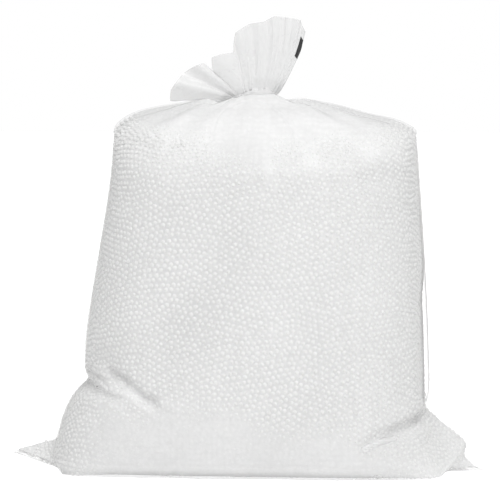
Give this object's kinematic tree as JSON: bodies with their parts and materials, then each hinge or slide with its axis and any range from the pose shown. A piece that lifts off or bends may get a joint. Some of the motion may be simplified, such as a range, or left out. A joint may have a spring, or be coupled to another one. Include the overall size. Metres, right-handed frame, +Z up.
{
  "type": "packing peanut bag",
  "caption": "Clear film bag full of white loose-fill foam beads, tied at the neck with a fanned tail, standing on its welded bottom edge with two pointed corner ears",
  "frame": {"origin": "on the floor, at the middle of the bag's bounding box", "axes": "+X along the bottom weld from the viewer's left ear to the right ear, +Y from the front panel to the back panel, +Z up"},
  "size_m": [0.524, 0.272, 0.4961],
  "materials": {
    "clear_film": "clear, soft, slightly hazy film with a wet-looking gloss on its folds",
    "foam_beads": "white expanded foam, matte",
    "tie_band": "pale plain plastic tie"
  },
  "bodies": {
    "root": {"film_bag": "clear_film", "bead_fill": "foam_beads", "neck_tie": "tie_band"}
  },
  "joints": []
}
